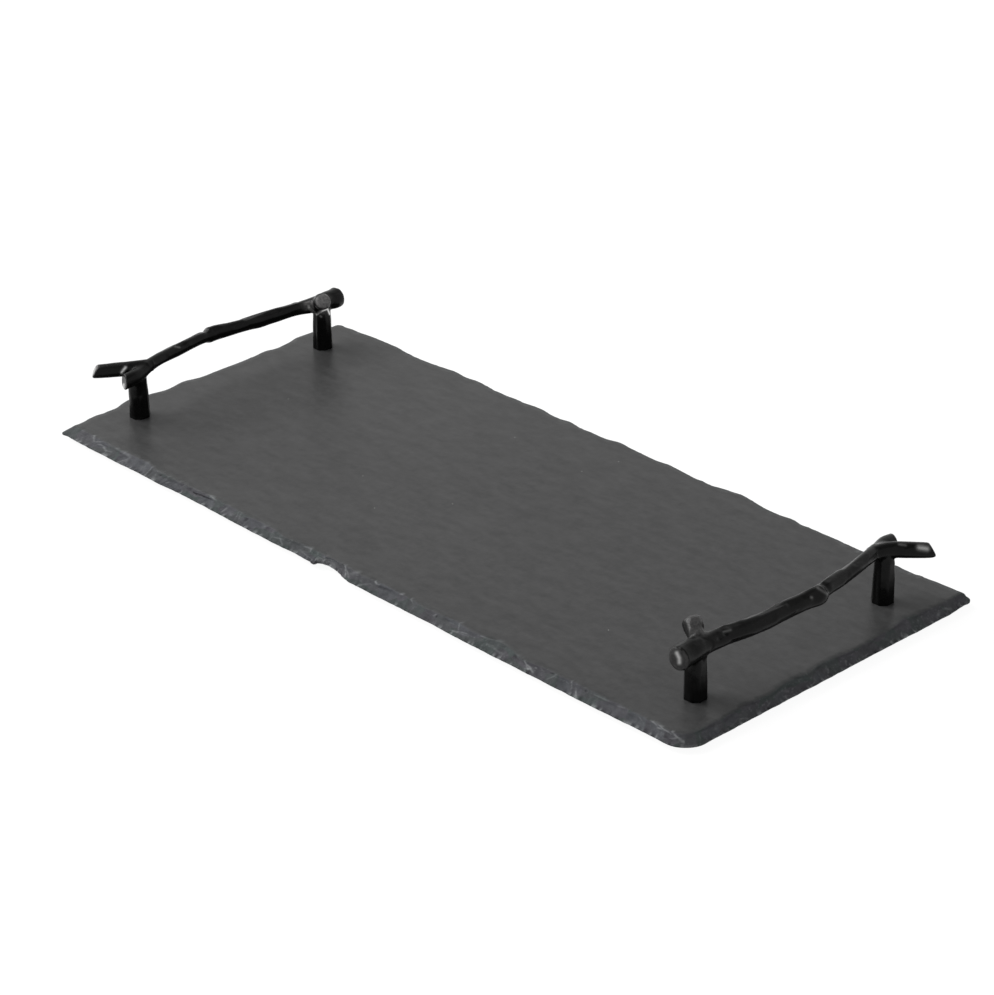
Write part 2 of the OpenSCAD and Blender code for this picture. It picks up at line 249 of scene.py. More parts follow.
def slate_material():
    material, tree, shader = new_material("slate", (0.048, 0.048, 0.049), 0.5, 0.10)
    cloud = noise_node(tree, 9.0, 3.0)
    mottle = noise_node(tree, 240.0, 6.0, 0.62)
    grain = noise_node(tree, 1500.0, 3.0, 0.6)
    streaks = noise_node(tree, 110.0, 4.0, 0.6, (0.55, 1.4, 1.0))
    top = between(tree, mottle, 0.32, 0.68, SLATE_TOP)
    top = mix(tree, 0.50, top, between(tree, streaks, 0.32, 0.68, SLATE_STREAKS))
    top = mix(tree, 0.25, top, between(tree, cloud, 0.3, 0.7, SLATE_CLOUDS))
    chip = between(tree, mottle, 0.25, 0.75, SLATE_CHIP)
    chip = mix(tree, 1.0, chip, ramp(tree, mark(tree, "tint"), CHIP_HUES), "MULTIPLY")
    colour = mix(tree, mark(tree, "chipped"), top, chip)
    # Pale partly paints highlights and light on faces turned from the lamps; dark paints shade in dents
    for label, tone in (("pale_and_lit", PALE_AND_HIGHLIGHT), ("dark_and_shaded", DARK_AND_SHADE), ("speck", SPECK)):
        colour = mix(tree, mark(tree, label), colour, tone)
    tree.links.new(colour, shader.inputs["Base Color"])
    rough = between(tree, mottle, 0.25, 0.75, TOP_ROUGHNESS)
    rough = mix(tree, mark(tree, "chipped"), rough, CHIP_ROUGHNESS)
    tree.links.new(rough, shader.inputs["Roughness"])
    bump(tree, shader, mix(tree, 0.4, mottle, grain), 0.00012, 0.7)
    return material


def handle_material():
    material, tree, shader = new_material("black_coating", (0.003, 0.003, 0.003), 0.27, 0.11)
    cast = noise_node(tree, 900.0, 3.0, 0.55)
    rough = between(tree, noise_node(tree, 60.0, 3.0), 0.35, 0.7, COATING_ROUGHNESS)
    tree.links.new(rough, shader.inputs["Roughness"])
    # The sawn mark paints pale: the sawn ends' own paler cut, and painted light on facets that face the lamps
    sawn_end = between(tree, noise_node(tree, 700.0, 4.0, 0.6), 0.35, 0.7, SAWN_AND_LIT)
    colour = mix(tree, mark(tree, "sawn"), between(tree, cast, 0.3, 0.8, COATING), sawn_end)
    # The worn mark gives bright bare metal: a little wear on sharp edges, and mostly painted highlights
    wear_and_highlight = mark(tree, "wear_and_highlight")
    tree.links.new(between(tree, wear_and_highlight, 0.15, 0.55, (0.0, 1.0)), shader.inputs["Metallic"])
    tree.links.new(mix(tree, wear_and_highlight, colour, BARE_METAL_AND_HIGHLIGHT), shader.inputs["Base Color"])
    bump(tree, shader, cast, 0.00006, 0.5)
    return material


def steel_material():
    material, tree, shader = new_material("zinc_plated_steel", (0.55, 0.55, 0.56), 0.35, 0.5, 1.0)
    brushed = noise_node(tree, 1200.0, 2.0, 0.5, (1.0, 8.0, 1.0))
    tree.links.new(between(tree, brushed, 0.3, 0.7, (0.28, 0.45)), shader.inputs["Roughness"])
    bump(tree, shader, brushed, 0.00003, 0.4)
    return material


def soft_material(name, colour, roughness, scale):
    material, tree, shader = new_material(name, colour, roughness, 0.3)
    speckle = noise_node(tree, scale, 3.0)
    pair = [tuple(c * share for c in colour) for share in (0.75, 1.3)]
    tree.links.new(between(tree, speckle, 0.3, 0.7, pair), shader.inputs["Base Color"])
    bump(tree, shader, speckle, 0.00005, 0.5)
    return material


slate_look = slate_material()
handle_look = handle_material()
screw_look = steel_material()
washer_look = soft_material("black_fibre", (0.03, 0.03, 0.03), 0.75, 2500.0)
foot_look = soft_material("black_rubber", (0.018, 0.018, 0.018), 0.62, 1400.0)


# The slate: its outlines come from the solid, and the chipped slope between them is carved here

slate_low, slate_high = (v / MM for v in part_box("slate_board"))
screw_nodes = sorted(n for n in nodes if n.startswith("screw_"))
screw_spots = [middle_of(n) for n in screw_nodes]

# Lengths of the slate's making, in millimetres
FINE = 6            # new points on each stretch of the solid's outline
STEP = 0.6          # spacing of the points along the finished outline
BORE_SIDES = 48
SLOPE_ROWS = 22
GRID = 2.2          # spacing of the points on the flat faces
FLAKE, FLAKE_DEPTH = 9.0, 0.75      # mean width of one scar of the dressed edge, and its depth
CHIP, CHIP_DEPTH = 3.2, 0.28        # the same for the small scars inside it
LAYER = 0.7         # thickness of the layers that the slope splits along
SLOPE_LENGTH = 5.2  # from the land up to the top edge, along the slope
FULL_WIDTH = 3.0    # the slope's width at which the scars have their full depth
CROWN = 0.13        # how far the slope bulges before it is cut, as a share of its height
NEAR_Y, RIGHT_X = -88.0, 218.0      # beyond these a point of the outline is on the near or right side
LEVEL_SLACK = 0.001                 # how far off a height a point may lie
HOLE_REACH = 6.0    # the solid's points nearer to a screw than this belong to its hole
CHUNK = 4000        # points measured against an outline at a time


def away(points, spot):
    """How far each point lies from a spot, seen from above."""
    return np.hypot(points[:, 0] - spot[0], points[:, 1] - spot[1])


def ring_of(points, level):
    """The points of the solid's outline at a height, in order round the slate."""
    ring = points[np.abs(points[:, 2] - level) < LEVEL_SLACK][:, :2]
    for spot in screw_spots:
        ring = ring[away(ring, spot) > HOLE_REACH]
    return ring[np.argsort(np.arctan2(ring[:, 1], ring[:, 0]))]


def finer(ring):
    """A closed ring with more points, on a smooth curve through the old ones."""
    a, b, c, d = np.roll(ring, 1, 0), ring, np.roll(ring, -1, 0), np.roll(ring, -2, 0)
    rows = []
    for k in range(FINE):
        t = k / FINE
        rows.append(
            (2 * b + (c - a) * t + (2 * a - 5 * b + 4 * c - d) * t**2 + (3 * b - a - 3 * c + d) * t**3) / 2
        )
    return np.stack(rows, 1).reshape(-1, 2)


def outlines():
    """The land's outline and the top edge's outline in step with it, with even spacing, the
    distance along and the land's height."""
    points = own_points("slate_board")
    levels = np.unique(np.round(points[:, 2], 2))
    land_level = levels[1]
    land, crest = ring_of(points, land_level), ring_of(points, slate_high[2])
    if len(land) != len(crest):
        raise ValueError("the slate's outlines don't pair")
    best = min(range(-4, 5), key=lambda k: np.sum((np.roll(crest, k, 0) - land) ** 2))
    land, crest = finer(land), finer(np.roll(crest, best, 0))
    middle = (land + crest) / 2
    step = np.hypot(*(np.roll(middle, -1, 0) - middle).T)
    reach = np.concatenate([[0.0], np.cumsum(step)])
    along = np.linspace(0.0, reach[-1], int(reach[-1] / STEP), endpoint=False)

    def evenly(ring):
        closed = np.concatenate([ring, ring[:1]])
        return np.stack([np.interp(along, reach, closed[:, axis]) for axis in (0, 1)], 1)

    return notched(evenly(land)), evenly(crest), along, reach[-1], land_level


# The near notch: X and how far the land is set in, in millimetres
NOTCH = [(-27, 0), (-19.6, 0), (-18.4, 2.6), (-17.2, 3.6), (-12, 3.7), (-6, 3), (-1, 1.2), (5, 0)]
NOTCH_X, NOTCH_REACH = -16.0, 12.0  # its middle, and how far its bent outline still takes the near marks


def notched(land):
    """The land's outline with the notch in the near side cut to its own shape."""
    xs, depths = zip(*NOTCH)
    order = np.flatnonzero((land[:, 1] < NEAR_Y) & (land[:, 0] > xs[0]) & (land[:, 0] < xs[-1]))
    order = order[np.argsort(land[order, 0])]
    x = land[order, 0]
    line = np.interp(x, (x[0], x[-1]), land[order[[0, -1]], 1])
    made = land.copy()
    made[order, 1] = line + np.interp(x, xs, depths)
    return made


def bend_of(ring, span=6):
    """How sharply a ring turns at each point, in radians."""
    way = np.roll(ring, -span, 0) - ring
    heading = np.arctan2(way[:, 1], way[:, 0])
    return np.abs(np.angle(np.exp(1j * (heading - np.roll(heading, span)))))


def relief(x, y, seed):
    """The cleft face of the slate: long swells, shallow flake steps, fine dents and a few pits, in
    millimetres. Each noise has its own size in X and Y, and its own seed."""
    swell = 0.05 * fractal(x / 55.0, y / 38.0, 0.0, 3 + seed, 2)
    lines = noise(x / 26.0, y / 15.0, 0.0, 11 + seed) + 0.35 * noise(x / 6.0, y / 5.0, 0.0, 12 + seed)
    step = 0.035 * smooth((lines - 0.15) / 0.06) + 0.03 * smooth((-0.35 - lines) / 0.05)
    dents = 0.045 * fractal(x / 6.5, y / 3.6, 0.0, 21 + seed, 3)
    gap, own = cells(x / 11.0, y / 9.0, 31 + seed)
    pits = 0.05 * np.where(own > 0.6, np.exp(-((gap / 0.13) ** 2)), 0.0)
    return swell - step + dents - pits


def seated(x, y):
    """Falls to zero where a post or a washer seats on the stone."""
    near = np.ones(np.shape(x))
    for spot in screw_spots:
        near = np.minimum(near, smooth((np.hypot(x - spot[0], y - spot[1]) - 6.5) / 5.0))
    return near


def round_turn(sides):
    """Points of a unit circle."""
    turn = np.arange(sides) * (2 * math.pi / sides)
    return np.stack([np.cos(turn), np.sin(turn)], 1)


def filled(outer, radius, seed, specks):
    """Points and triangles of a flat face inside an outline, with a round hole at each screw.
    The outline's own points come first, then the holes' points, then the inner ones."""
    loops = [outer] + [spot[:2] + radius * round_turn(BORE_SIDES) for spot in screw_spots]
    low, high = outer.min(0), outer.max(0)
    gx, gy = np.meshgrid(np.arange(low[0], high[0], GRID), np.arange(low[1], high[1], GRID))
    gx = gx + 0.35 * GRID * noise(gx * 3.1, gy * 3.1, 0.0, 41 + seed)
    gy = gy + 0.35 * GRID * noise(gx * 3.1, gy * 3.1, 0.0, 42 + seed)
    grid = np.stack([gx.ravel(), gy.ravel()], 1)
    grid = grid[inside_by(grid, outer) > 0.7 * GRID]
    for spot in screw_spots:
        grid = grid[away(grid, spot) > radius + 0.5 * GRID]
    for speck in specks:
        grid = grid[away(grid, speck) > SPECK_ROOM]
    rings = [[speck, *(speck + round_turn(6) * SPECK_SIZE)] for speck in np.array(specks)]
    flat = np.concatenate(loops + [grid] + rings)
    edges, start = [], 0
    for loop in loops:
        count = len(loop)
        edges += [(start + k, start + (k + 1) % count) for k in range(count)]
        start += count
    made = geometry.delaunay_2d_cdt([Vector(p) for p in flat], edges, [], 1, 1e-6, True)
    if len(made[0]) != len(flat):
        raise ValueError("the flat face gained or lost points")
    order = np.array([ids[0] for ids in made[3]])
    triangles = np.array([order[list(f)] for f in made[2]])
    centre = flat[triangles].mean(1)
    keep = np.ones(len(triangles), bool)
    doubtful = np.flatnonzero((triangles < len(outer)).all(1))
    keep[doubtful] = within(centre[doubtful], outer)
    for spot in screw_spots:
        keep &= away(centre, spot) > radius * 0.98
    return flat, triangles[keep]


def within(points, ring):
    """Which points lie inside a closed outline."""
    a, b = ring, np.roll(ring, -1, 0)
    px, py = points[:, :1], points[:, 1:]
    spans = (a[:, 1] > py) != (b[:, 1] > py)
    rise = np.where(spans, b[:, 1] - a[:, 1], 1.0)
    cross_x = a[:, 0] + (py - a[:, 1]) / rise * (b[:, 0] - a[:, 0])
    return (spans & (px < cross_x)).sum(1) % 2 == 1


def inside_by(points, ring):
    """How far each point lies inside an outline that bends little."""
    out = np.zeros(len(points))
    a, b = ring[::3], np.roll(ring[::3], -1, 0)
    way = b - a
    length = np.hypot(way[:, 0], way[:, 1])
    for k in range(0, len(points), CHUNK):
        p = points[k : k + CHUNK, None, :]
        t = np.clip(((p - a) * way).sum(2) / length**2, 0, 1)
        gap = p - (a + way * t[..., None])
        d = np.hypot(gap[..., 0], gap[..., 1])
        nearest = d.argmin(1)
        rows = np.arange(len(nearest))
        along, off = way[nearest], p[:, 0] - a[nearest]
        side = along[:, 0] * off[:, 1] - along[:, 1] * off[:, 0]
        out[k : k + CHUNK] = np.where(side > 0, d[rows, nearest], -d[rows, nearest])
    return out


# Pale mineral specks on the serving face: X and Y, half their size, and the room kept round them
SPECK_SIZE, SPECK_ROOM = (0.42, 0.3), 0.9
specks = [
    (6.2, 58.2), (11.5, 79.6), (-47.3, 61.7), (-13.2, -13.9),
    (-68.8, -25.1), (-37.3, -44.8), (-167.9, 7.9), (133.6, -50.1),
]


# Marks of the dressing hammer: place along the side in mm, height in percent of the slope,
# length and width in mm, lean in degrees, depth in hundredths of a mm (less than zero stands out), and
# tone (100 pale, -100 dark). The tone is partly paler crushed stone and partly painted light: painted
# highlights on raised lips, painted shade in dents, and painted light on faces turned from the lamps.
near_marks = [
    (-208, 92, 7, 0.8, -28, -8, 55), (-202.5, 72, 4.5, 0.7, 20, 10, 40), (-198.5, 60, 4, 0.6, 12, 0, 45),
    (-194.5, 48, 4, 0.7, -12, 12, 40), (-196, 70, 4, 0.5, 5, 22, -45), (-190, 42, 5, 0.6, 8, 0, 30),
    (-182.5, 93, 14, 1.3, -5, 0, 28), (-184, 70, 12, 0.6, -3, 12, -25), (-176, 40, 3.5, 0.6, 55, -8, 35),
    (-173.5, 30, 3, 0.5, -35, 0, 30), (-163, 66, 7.5, 3.6, 80, 35, 16), (-156, 50, 5, 0.5, -70, -8, 45),
    (-154.6, 62, 4.5, 0.7, -68, 30, -50), (-149.5, 36, 3, 0.6, -50, -6, 30),
    (-147, 70, 2.2, 1.4, 10, 45, -70), (-138.5, 40, 3, 0.6, 30, 0, 28),
    (-133.5, 80, 4.5, 1.5, 70, 10, 14), (-113.5, 62, 12.5, 0.75, 3, 55, -85),
    (-117.5, 52, 5, 0.5, -8, 20, -50), (-107.5, 97, 7, 0.8, -8, -10, 45),
    (-93.8, 40, 4.6, 0.7, 85, -12, 65), (-84.2, 62, 4, 0.45, -62, -5, 35),
    (-82, 60, 4, 0.45, -60, -5, 32), (-87, 45, 5, 2, 50, 12, 10), (-76.6, 58, 2, 1.2, 60, 40, -55),
    (-63.5, 86, 3.4, 0.9, 25, 0, 32), (-50, 48, 7, 0.6, 12, -6, 38), (-46.5, 30, 6, 0.5, -25, -6, 42),
    (-48.5, 20, 6, 0.5, -10, 12, -35), (-43, 88, 2.6, 0.8, 30, 0, 30), (-30.5, 88, 5.5, 1, 6, 0, 30),
    (-27.5, 76, 2.5, 0.7, -55, -6, 38), (-30, 55, 4, 0.7, 4, 20, -35), (-27, 22, 11, 0.5, -5, 0, 32),
    (-18.2, 45, 2.6, 0.8, -40, 0, 45), (-17, 35, 5, 4, 60, 0, 22), (-12, 70, 3, 0.8, 20, 0, 25),
    (-18.2, 20, 4.4, 4, 0, 0, 55), (-12, 25, 8, 4, 0, 0, 28), (-1, 62, 8.5, 0.8, -42, -12, 60),
    (2.6, 40, 5, 0.6, -25, -6, 45), (6.5, 100, 7.5, 1.8, 38, 0, 22), (15.5, 30, 6, 0.8, 24, -6, 38),
    (20.6, 88, 2, 0.8, -20, -6, 65), (22.6, 80, 1.6, 0.6, 15, 0, 50), (27, 70, 10, 1, 6, 35, -45),
    (38.6, 98, 2.2, 0.9, 10, 0, 38), (46.5, 90, 3.4, 0.6, -30, -5, 36), (64.2, 72, 2, 1, 60, 0, 45),
    (65.4, 66, 1.2, 0.7, 80, 35, -60), (72, 78, 4, 0.5, -4, 15, -25), (80, 80, 3.6, 0.6, -55, -6, 38),
    (83.5, 42, 8, 0.5, 12, -5, 30), (82, 28, 9, 0.5, 6, -5, 34), (96.5, 92, 3.2, 0.7, 0, 0, 32),
    (105, 98, 13, 0.6, 4, -5, 26), (106, 40, 12, 0.9, -3, 0, 22), (110.5, 86, 3, 0.6, 20, 25, -35),
    (120.5, 62, 4.6, 1.4, -20, 35, -30), (128.5, 60, 5, 1.2, -40, -14, 80),
    (131.5, 40, 4.5, 1, -30, -10, 75), (129.5, 26, 3, 0.7, 15, -6, 55), (133.8, 66, 1.2, 0.8, 0, 0, 55),
    (143.6, 82, 2.6, 0.9, 15, 45, -65), (150, 84, 7, 0.6, 4, 15, -25), (156, 80, 5.2, 0.6, -62, -10, 42),
    (143.5, 40, 6, 0.5, 35, -5, 28), (161, 26, 4.5, 0.7, -40, -5, 45), (165.3, 76, 1.6, 1.2, 0, 45, -65),
    (175, 84, 9, 0.9, 2, 0, 26), (187, 86, 4.4, 0.7, 8, 0, 24), (199.8, 70, 3.4, 0.7, -20, 0, 26),
    (206.5, 100, 6, 0.6, -12, -6, 42), (211.5, 74, 3, 0.9, 10, 0, 50), (214.5, 90, 11, 0.7, -8, -10, 45),
    (219.5, 40, 7, 0.5, 14, -6, 35), (218.5, 30, 6, 0.6, -6, 25, -45), (222.5, 68, 8, 1, -32, -12, 60),
]
right_marks = [
    (-84, 88, 12, 0.9, -4, 25, -35), (-66, 80, 9, 1, 6, 30, -30), (-52, 90, 7, 0.8, -8, 20, -40),
    (-36, 84, 14, 0.8, 3, 25, -30), (-19, 90, 6, 1, -10, 30, -40), (-6, 82, 8, 0.7, 5, 20, -30),
    (12, 88, 12, 0.9, -3, 25, -35), (30, 82, 7, 0.8, 8, 25, -35), (46, 90, 12, 0.8, -4, 25, -30),
    (66, 86, 9, 1, 6, 30, -35), (-76, 55, 3, 1.2, 40, 10, 16), (-30, 50, 4, 1.4, -35, 10, 18),
    (-2, 55, 3, 1.3, 50, 10, 20), (38, 50, 4, 1.5, -30, 10, 16), (-88, 25, 4, 0.8, 60, 0, 30),
    (-70, 16, 6, 0.5, 5, 0, 25), (-60, 20, 5, 0.7, -15, 0, 34), (-44, 22, 5, 0.6, 20, 0, 30),
    (-31, 18, 4, 0.5, -10, 0, 28), (-14, 16, 4, 0.5, 15, 0, 26), (9, 22, 3, 0.9, 50, 0, 34),
    (22, 16, 5, 0.5, 0, 0, 26), (40, 18, 5, 0.6, 10, 0, 30), (48, 20, 3, 0.7, 40, 0, 32),
    (75, 30, 4, 1.2, 30, 0, 30), (82, 36, 5, 1.4, -20, 0, 32),
]


def scars(along, total, share, width, depth, seed):
    """Scooped scars side by side, as a hammer leaves them: the depth at each point and the
    number, from 0 to 1, of the scar that it lies in."""
    count = int(round(total / width))
    deep = np.zeros(len(along))
    own = np.zeros(len(along))
    for k in range(2 * count):
        pick = [float(lattice(k, j, 5, seed)) for j in range(6)]
        centre = (k / 2 + pick[0]) * width
        half_l = width * (0.45 + 0.75 * pick[1])
        middle, half_h = 0.05 + 0.95 * pick[2], 0.35 + 0.55 * pick[3]
        off = (along - centre + total / 2) % total - total / 2
        near = np.abs(off) < half_l
        across, rise = off[near] / half_l, (share - middle) / half_h
        bowl = 1.0 - across**2 - rise**2 + (pick[5] - 0.5) * (across + rise)
        cut = depth * (0.35 + 0.65 * pick[4]) * bowl
        deeper = cut > deep[near]
        deep[near] = np.where(deeper, cut, deep[near])
        own[near] = np.where(deeper, pick[4], own[near])
    return deep, own


def marked(place, up, table):
    """Depth and tone of the listed marks at points given along a side and up the slope, in mm. The
    tone is partly paler stone, partly painted highlight on lips and painted shade in dents.
    """
    deep, tone = np.zeros(len(place)), np.zeros(len(place))
    for x, height, length, width, lean, hundredths, paleness in table:
        turn = math.radians(lean)
        dx, dy = place - x, up - height / 100 * SLOPE_LENGTH
        p, q = dx * math.cos(turn) + dy * math.sin(turn), dy * math.cos(turn) - dx * math.sin(turn)
        weight = np.exp(-((p / (0.55 * length)) ** 4) - np.abs(q / (0.5 * width)) ** 2.5)
        deep += hundredths / 100 * weight
        tone += paleness / 100 * weight
    return deep, tone


MARKS = "chipped", "pale_and_lit", "dark_and_shaded", "tint", "speck"      # the slate's point attributes


def band(first, second):
    """Quads between two closed rings of point numbers."""
    return np.column_stack([first, np.roll(first, -1), np.roll(second, -1), second]).tolist()


def hole_radius(level, limit):
    """The radius of the solid's hole at the first screw, at a height, where it is under a limit."""
    points = own_points("slate_board")
    reach = away(points, screw_spots[0])
    on_hole = (np.abs(points[:, 2] - level) < LEVEL_SLACK) & (reach > 1.0) & (reach < limit)
    return float(np.median(reach[on_hole]))


def build_slate():
    """Points in millimetres, faces and marks of the plate: rings from the underside's rim up to the
    top edge, then the two flat faces, then the walls of the screws' holes."""
    land, crest, along, total, land_level = outlines()
    count = len(land)
    low, high = slate_low[2], slate_high[2]
    tall = high - land_level
    wide = np.maximum(np.hypot(*(crest - land).T), 0.2)
    tangent = np.roll(land, -2, 0) - np.roll(land, 2, 0)
    inward = np.stack([-tangent[:, 1], tangent[:, 0]], 1) / np.hypot(*tangent.T)[:, None]
    straight = 1.0 - smooth(np.maximum(bend_of(land), bend_of(crest)) / 0.7)
    strength = np.minimum(wide, FULL_WIDTH) / FULL_WIDTH
    by_notch = np.abs(land[:, 0] - NOTCH_X) < NOTCH_REACH
    near_side = (land[:, 1] < NEAR_Y) & ((inward[:, 1] > 0.7) | by_notch)
    right_side = (land[:, 0] > RIGHT_X) & (inward[:, 0] < -0.7)

    def slope_at(share):
        """Depth cut from the slope, its tone (1 pale, -1 dark; partly painted highlight and painted shade)
        and the number of the large scar that each point lies in, at a share of the slope's height."""
        up = share * SLOPE_LENGTH
        big, own = scars(along, total, share, FLAKE, FLAKE_DEPTH, 71)
        small, small_own = scars(along, total, share, CHIP, CHIP_DEPTH, 72)
        cut = big + small * (0.5 + smooth(fractal(along / 14.0, share, 0.0, 74, 2) * 1.5 + 0.5))
        rough = 0.10 * fractal(along / 1.3, share * 6.0, 0.0, 73, 3)
        deep, tone = np.zeros(count), np.zeros(count)
        for side, axis, table in ((near_side, 0, near_marks), (right_side, 1, right_marks)):
            deep[side], tone[side] = marked(land[side, axis], up, table)
        busy = smooth(0.5 + fractal(along / 16.0, share * 1.5, 0.0, 78, 2) * 1.6)
        other = 1.0 - near_side * 0.5 - right_side * 0.3
        flecks = 0.24 * other * busy * smooth(fractal(along / 0.9, up / 0.7, 0.0, 79, 2) * 3.0 - 0.9)
        tone = 0.85 * tone * (0.75 + 0.5 * noise(along / 1.1, up / 0.8, 0.0, 77)) + flecks
        tone += 0.05 * (small_own - 0.5) + 0.07 * (own - 0.5)
        rim = math.exp(-((share / 0.16) ** 2))
        tone += rim * (0.45 * smooth(noise(along / 1.6, 0.0, 0.0, 81) * 2.0 - 0.5)
                       - 0.55 * smooth(noise(along / 1.2, 3.0, 0.0, 82) * 2.0 - 0.4))
        return strength * cut + rough + deep, tone, own

    edge_cut, foot_cut = slope_at(0.9)[0], slope_at(0.0)[0]
    crest = crest + inward * (np.clip(edge_cut * 0.6, 0, 0.8) * straight)[:, None]
    land = land + inward * (np.clip(foot_cut * 0.45 + 0.05, 0, 0.6) * straight)[:, None]
    way = np.column_stack([crest - land, np.full(count, tall)])
    outward = np.cross(np.column_stack([-inward[:, 1], inward[:, 0], np.zeros(count)]), way)
    outward /= -np.linalg.norm(outward, axis=1)[:, None]
    outward *= np.sign(outward[:, 2])[:, None]
    sway = 0.35 * noise(along / 26.0, 0.0, 0.0, 76)
    rings, marks = [], []
    for share in np.linspace(0.0, 1.0, SLOPE_ROWS):
        cut, tone, own = slope_at(share)
        hold = smooth(share / 0.08) * smooth((1.0 - share) / 0.45)
        turned = share * tall / LAYER + sway
        stair = np.floor(turned) + smooth((turned - np.floor(turned) - 0.3) / 0.4) - turned
        stepped = smooth(fractal(along / 20.0, share, 0.0, 75, 2) * 1.4 + 0.3)
        crown = CROWN * math.sin(math.pi * share)
        rise = (share + crown) * tall + hold * stair * LAYER * 0.35 * stepped
        row = np.column_stack([land + (crest - land) * share, land_level + rise])
        row = row - outward * (np.clip(cut, -0.05, 1.6) * hold)[:, None]
        row[:, 2] = np.clip(row[:, 2], land_level, high)
        rings.append(row)
        chipped = np.full(count, 1.0 if share < 0.99 else 0.3)
        marks.append([chipped, np.clip(tone, 0, 1), np.clip(-tone, 0, 1), own, np.zeros(count)])
    # the upright land under the slope, and the rim of the underside
    # The land takes the slope's lowest marks, painted paler on the right side and in the notch: painted light
    # on faces turned away from the key lamp
    in_notch = near_side & (land[:, 0] > NOTCH[1][0]) & (land[:, 0] < NOTCH[-2][0])
    chipped, pale_and_lit, *others = marks[0]
    land_marks = [chipped, pale_and_lit + (0.10 * right_side + 0.35 * in_notch), *others]
    for share, out in ((0.66, 0.0), (0.33, 0.0), (0.0, -0.25)):
        rough = 0.10 * fractal(along / 1.7, share * 2.0, 0.0, 80, 2)
        spot = land - inward * ((out + rough * 0.6 - 0.06) * straight)[:, None]
        rings.insert(0, np.column_stack([spot, np.full(count, low + share * (land_level - low))]))
        marks.insert(0, land_marks)
    blocks = list(rings)
    ids = np.arange(len(rings) * count).reshape(-1, count)
    faces = [quad for lower, upper in zip(ids, ids[1:]) for quad in band(lower, upper)]

    def grow(block, more):
        """Takes in points with their marks, and returns the points' numbers."""
        numbers = sum(map(len, blocks)) + np.arange(len(block))
        blocks.append(block)
        marks.append(more)
        return numbers

    def cap(ring, level, radius, side, seed, spots):
        """Closes the top (side 1) or the underside (side -1), and returns the numbers of the points
        of its holes, hole by hole."""
        outer = rings[ring][:, :2]
        flat, triangles = filled(outer, radius, seed, spots)
        new = flat[count:]
        fade = smooth(inside_by(new, outer) / 3.0) * seated(new[:, 0], new[:, 1])
        z = level + side * relief(new[:, 0], new[:, 1], seed) * fade
        if side < 0:
            z = np.maximum(z, level)
        more = np.zeros((len(MARKS), len(new)))
        for spot in spots:
            more[-1, away(new, spot) < 0.05] = 1.0
        numbers = grow(np.column_stack([new, z]), more)
        faces.extend(np.concatenate([ids[ring], numbers])[triangles][:, ::side].tolist())
        return numbers[: len(screw_spots) * BORE_SIDES].reshape(-1, BORE_SIDES)

    bore, seat = hole_radius(high, 4.0), hole_radius(low, 8.0)
    top_holes = cap(-1, high, bore, 1, 0, specks)
    low_holes = cap(0, low, seat, -1, 100, [])
    seat_top = np.full(BORE_SIDES, (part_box("washer_left_near")[1] / MM)[2])
    for spot, top_hole, low_hole in zip(screw_spots, top_holes, low_holes):
        walls = (np.column_stack([spot[:2] + r * round_turn(BORE_SIDES), seat_top]) for r in (seat, bore))
        seat_ring, bore_ring = (grow(wall, np.zeros((len(MARKS), BORE_SIDES))) for wall in walls)
        faces += band(seat_ring, low_hole) + band(bore_ring, seat_ring) + band(top_hole, bore_ring)
    return np.concatenate(blocks), faces, dict(zip(MARKS, np.hstack(marks)))


stack, faces, marks = build_slate()
slate = make_object("slate_plate", stack * MM, faces, marks)
shade(slate, 50.0)
slate.data.materials.append(slate_look)
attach(slate, "root")
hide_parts("slate_board")


# The handles: the solid casting is remeshed and smoothed, then carved

VOXEL = 0.4 * MM
PULL = 0.9              # how far one round takes a point toward the mean of its neighbours
PUSH_BACK = 1.03        # the push that follows where the volume is kept, as a share of the pull
RAIL_LOW = 19.0         # over this height a point belongs to the twig and not to a post
RAIL_REACH = 7.5        # no point of the rail lies farther from its middle line
FLAT_DEPTH = 0.60       # a share of the flats' listed depths
HIGHLIGHT_DEPTH = 6.0      # how far in front of or behind a painted highlight's line its mark reaches
CASTING_TOP = 35.9      # just under the highest point of the CAD casting, above its posts' feet


def casting_centre(side):
    """The middle between a handle's two screws, on the serving face."""
    a, b = (middle_of(f"screw_{side}_{place}") for place in ("near", "far"))
    return np.array([(a[0] + b[0]) / 2, (a[1] + b[1]) / 2, slate_high[2]])


def remeshed(node):
    """The node's mesh as fine even quads: points in millimetres, and faces."""
    twin = nodes[node].copy()
    twin.data = nodes[node].data.copy()
    twin.parent = None
    bpy.context.scene.collection.objects.link(twin)
    weld = twin.modifiers.new("weld", "WELD")
    weld.merge_threshold = 0.00001
    grid = twin.modifiers.new("grid", "REMESH")
    grid.mode = "VOXEL"
    grid.voxel_size = VOXEL
    made = twin.evaluated_get(bpy.context.evaluated_depsgraph_get()).to_mesh()
    if not (read(made.polygons, "loop_total", np.int32) == 4).all():
        raise ValueError("the remeshed casting has a face that isn't a quad")
    points, corners = points_of(made), read(made.loops, "vertex_index", np.int32)
    bpy.data.objects.remove(twin)
    return points, corners.reshape(-1, 4)


def neighbours(quads, size):
    """The two ends of each edge, and how many edges each point has."""
    sides = np.concatenate([quads[:, [k, (k + 1) % 4]] for k in range(4)])
    a, b = np.unique(np.sort(sides, 1), axis=0).T
    return a, b, np.bincount(a, minlength=size) + np.bincount(b, minlength=size)


def mean_around(points, pairs):
    """The mean of each point's neighbours."""
    a, b, edges = pairs
    size = len(points)
    total = [np.bincount(a, row[b], size) + np.bincount(b, row[a], size) for row in points.T]
    return np.stack(total, 1) / edges[:, None]


